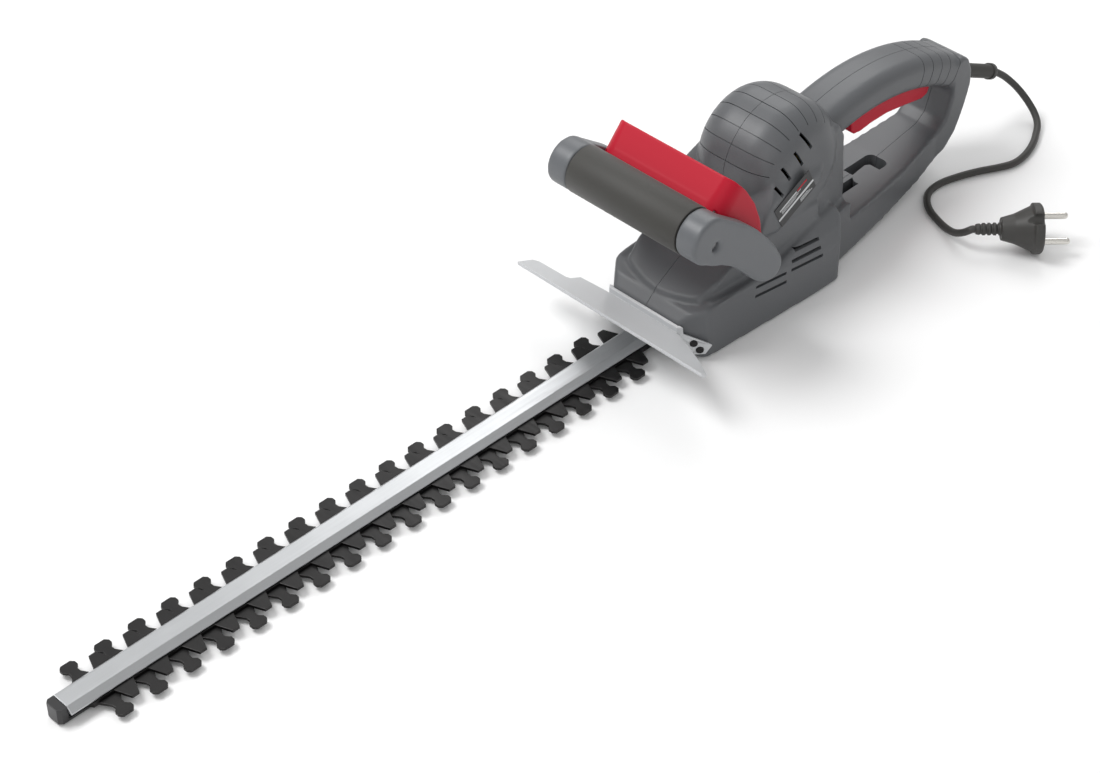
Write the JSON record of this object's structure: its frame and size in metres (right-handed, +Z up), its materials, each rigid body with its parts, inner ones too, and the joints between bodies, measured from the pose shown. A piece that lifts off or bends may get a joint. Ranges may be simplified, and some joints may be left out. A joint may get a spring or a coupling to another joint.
{
  "type": "hedge trimmer",
  "caption": "Corded hedge trimmer: long bar with two sliding toothed blades, clear hand guard, looped front handle with squeeze lever, domed motor housing and open rear handle with trigger.",
  "frame": {"origin": "on the floor plane under the drive gear's axis, midway across the housing", "axes": "+X towards the rear handle along the bar, +Y to the user's right, +Z up from the flat base"},
  "size_m": [0.8846, 0.231, 0.1444],
  "materials": {
    "shell_grey": "fine moulded texture, mid grey",
    "handle_grey": "fine moulded texture, slightly lighter grey",
    "plate_steel": "rolled zinc-plated sheet",
    "cast_alloy": "die cast, as cast",
    "guard_clear": "translucent pale grey",
    "black_plastic": "black moulded",
    "screw_steel": "dark zinc plate",
    "bar_steel": "satin, brushed along the bar",
    "blade_black": "blackened ground steel",
    "gear_steel": "machined, oiled",
    "laminated_steel": "stacked sheets",
    "copper_wire": "varnished wire",
    "copper_bars": "turned",
    "brass_plate": "folded sheet",
    "carbon": "pressed graphite",
    "soft_grip": "soft matt rubber",
    "lever_red": "red moulded, satin",
    "film_yellow": "wrapped film",
    "terminal_white": "moulded",
    "cord_rubber": "matt rubber sheath",
    "pin_nickel": "nickel plated",
    "label_silver": "printed film"
  },
  "bodies": {
    "chassis": {"housing_left": "shell_grey", "housing_right": "shell_grey", "base_cover": "plate_steel", "gear_case": "cast_alloy", "blade_guard": "guard_clear", "guard_screws": "blade_black", "bar_cover": "bar_steel", "support_bar": "plate_steel", "bar_end_cap": "black_plastic", "blade_bolts": "screw_steel", "blade_nuts": "screw_steel", "gear_pin": "gear_steel", "lower_bearing": "gear_steel", "upper_bearing": "gear_steel", "stator_core": "laminated_steel", "field_windings": "copper_wire", "brush_holders": "brass_plate", "carbon_brushes": "carbon", "handle_core": "handle_grey", "handle_sleeve": "soft_grip", "handle_arm_left": "handle_grey", "handle_arm_right": "handle_grey", "handle_screws": "screw_steel", "lever_switch": "black_plastic", "trigger_spring": "screw_steel", "trigger_pin": "screw_steel", "main_switch": "black_plastic", "capacitor": "film_yellow", "terminal_block": "terminal_white", "cord_clamp": "black_plastic", "cord_bush": "cord_rubber", "cord": "cord_rubber", "plug_body": "cord_rubber", "plug_pins": "pin_nickel", "rating_label": "label_silver", "housing_screws": "screw_steel", "base_screws": "screw_steel"},
    "drive": {"drive_gear": "gear_steel", "eccentric_upper": "gear_steel", "eccentric_lower": "gear_steel"},
    "rotor": {"motor_shaft": "gear_steel", "motor_pinion": "gear_steel", "armature_core": "laminated_steel", "armature_winding": "copper_wire", "commutator": "copper_bars", "cooling_fan": "black_plastic"},
    "upper_knife": {"blade_upper": "blade_black"},
    "lower_knife": {"blade_lower": "blade_black"},
    "lever": {"front_lever": "lever_red", "lever_spring": "screw_steel"},
    "trigger": {"rear_trigger": "lever_red"}
  },
  "joints": [
    {"name": "drive_spin", "type": "hinge", "parent": "chassis", "child": "drive", "pos_m": [0, 0, 0.0135], "axis": [0, 0, 1], "continuous": true},
    {"name": "rotor_spin", "type": "hinge", "parent": "chassis", "child": "rotor", "pos_m": [0.038, 0, 0.07], "axis": [0, 0, 1], "continuous": true},
    {"name": "lower_stroke", "type": "slide", "parent": "chassis", "child": "lower_knife", "axis": [1, 0, 0], "range_m": [-0.00625, 0.00625]},
    {"name": "upper_stroke", "type": "slide", "parent": "chassis", "child": "upper_knife", "axis": [1, 0, 0], "range_m": [-0.00625, 0.00625]},
    {"name": "lever_squeeze", "type": "hinge", "parent": "chassis", "child": "lever", "pos_m": [-0.028, 0, 0.09], "axis": [0, -1, 0], "range_deg": [0, 5], "stiffness_Nm_per_rad": 2, "springref_deg": -6.88},
    {"name": "trigger_squeeze", "type": "hinge", "parent": "chassis", "child": "trigger", "pos_m": [0.212, 0, 0.084], "axis": [0, 1, 0], "range_deg": [0, 5], "stiffness_Nm_per_rad": 1, "springref_deg": -8.59, "deforming": ["trigger_spring"]}
  ],
  "couplings": [
    {"joint": "rotor_spin", "follows": "drive_spin", "ratio": -5.3333},
    {"joint": "upper_stroke", "follows": "lower_stroke", "ratio": -1}
  ]
}
